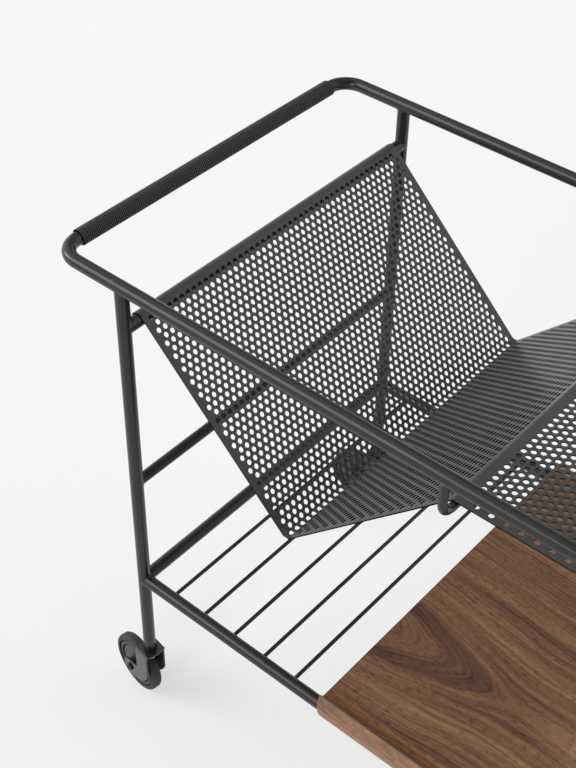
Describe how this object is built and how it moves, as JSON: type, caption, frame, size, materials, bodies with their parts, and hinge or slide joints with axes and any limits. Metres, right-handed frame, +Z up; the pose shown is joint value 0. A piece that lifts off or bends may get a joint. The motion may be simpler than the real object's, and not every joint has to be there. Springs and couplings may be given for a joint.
{
  "type": "serving trolley",
  "caption": "Serving trolley of black tube on swivel casters, with a folded sheet tray and trough, a wire shelf bay, a walnut board and a cord-wrapped push handle.",
  "frame": {"origin": "on the floor under the middle of the trolley", "axes": "+Z up, X along the trolley with the wrapped handle at -X, Y across with the near side at -Y"},
  "size_m": [0.8826, 0.5208, 0.7132],
  "materials": {
    "powder_coat": "satin black powder coat",
    "handle_cord": "black cord wound in close turns",
    "walnut": "oiled walnut, grain along the length",
    "fork_steel": "dark grey coated sheet",
    "black_steel": "black oxide fasteners and swivel ring",
    "zinc_steel": "zinc plated turned steel",
    "nylon": "black nylon",
    "wheel_plastic": "dark grey moulded plastic",
    "tyre_rubber": "dark grey solid rubber"
  },
  "bodies": {
    "frame": {"top_rail": "powder_coat", "handle_wrap": "handle_cord", "left_tray_bar": "powder_coat", "right_tray_bar": "powder_coat", "left_mid_bar": "powder_coat", "right_mid_bar": "powder_coat", "left_low_bar": "powder_coat", "right_low_bar": "powder_coat", "near_low_rail": "powder_coat", "far_low_rail": "powder_coat", "shelf_wires": "powder_coat", "folded_tray": "powder_coat", "support_rod": "powder_coat", "walnut_board": "walnut", "leg_plugs": "zinc_steel", "caster_stems": "zinc_steel", "thrust_washers": "nylon", "stem_washers": "zinc_steel", "stem_nuts": "zinc_steel", "near_left_leg": "powder_coat", "far_left_leg": "powder_coat", "near_right_leg": "powder_coat", "far_right_leg": "powder_coat"},
    "near_left_caster": {"near_left_fork": "fork_steel", "near_left_swivel_housing": "black_steel", "near_left_axle_bolt": "black_steel", "near_left_axle_nut": "black_steel", "near_left_axle_sleeve": "zinc_steel"},
    "near_left_wheel": {"near_left_wheel_bearing": "nylon", "near_left_wheel_core": "wheel_plastic", "near_left_tyre": "tyre_rubber"},
    "far_left_caster": {"far_left_fork": "fork_steel", "far_left_swivel_housing": "black_steel", "far_left_axle_bolt": "black_steel", "far_left_axle_nut": "black_steel", "far_left_axle_sleeve": "zinc_steel"},
    "far_left_wheel": {"far_left_wheel_bearing": "nylon", "far_left_wheel_core": "wheel_plastic", "far_left_tyre": "tyre_rubber"},
    "near_right_caster": {"near_right_fork": "fork_steel", "near_right_swivel_housing": "black_steel", "near_right_axle_bolt": "black_steel", "near_right_axle_nut": "black_steel", "near_right_axle_sleeve": "zinc_steel"},
    "near_right_wheel": {"near_right_wheel_bearing": "nylon", "near_right_wheel_core": "wheel_plastic", "near_right_tyre": "tyre_rubber"},
    "far_right_caster": {"far_right_fork": "fork_steel", "far_right_swivel_housing": "black_steel", "far_right_axle_bolt": "black_steel", "far_right_axle_nut": "black_steel", "far_right_axle_sleeve": "zinc_steel"},
    "far_right_wheel": {"far_right_wheel_bearing": "nylon", "far_right_wheel_core": "wheel_plastic", "far_right_tyre": "tyre_rubber"}
  },
  "joints": [
    {"name": "near_left_swivel", "type": "hinge", "parent": "frame", "child": "near_left_caster", "pos_m": [-0.336, -0.2434, 0.1013], "axis": [0, 0, 1], "continuous": true},
    {"name": "near_left_roll", "type": "hinge", "parent": "near_left_caster", "child": "near_left_wheel", "pos_m": [-0.36493, -0.23877, 0.04275], "axis": [0.1582, 0.9874, 0], "continuous": true},
    {"name": "far_left_swivel", "type": "hinge", "parent": "frame", "child": "far_left_caster", "pos_m": [-0.336, 0.2434, 0.1013], "axis": [0, 0, 1], "continuous": true},
    {"name": "far_left_roll", "type": "hinge", "parent": "far_left_caster", "child": "far_left_wheel", "pos_m": [-0.36493, 0.23877, 0.04275], "axis": [-0.1582, 0.9874, 0], "continuous": true},
    {"name": "near_right_swivel", "type": "hinge", "parent": "frame", "child": "near_right_caster", "pos_m": [0.336, -0.2434, 0.1013], "axis": [0, 0, 1], "continuous": true},
    {"name": "near_right_roll", "type": "hinge", "parent": "near_right_caster", "child": "near_right_wheel", "pos_m": [0.30707, -0.23877, 0.04275], "axis": [0.1582, 0.9874, 0], "continuous": true},
    {"name": "far_right_swivel", "type": "hinge", "parent": "frame", "child": "far_right_caster", "pos_m": [0.336, 0.2434, 0.1013], "axis": [0, 0, 1], "continuous": true},
    {"name": "far_right_roll", "type": "hinge", "parent": "far_right_caster", "child": "far_right_wheel", "pos_m": [0.30707, 0.23877, 0.04275], "axis": [-0.1582, 0.9874, 0], "continuous": true}
  ]
}
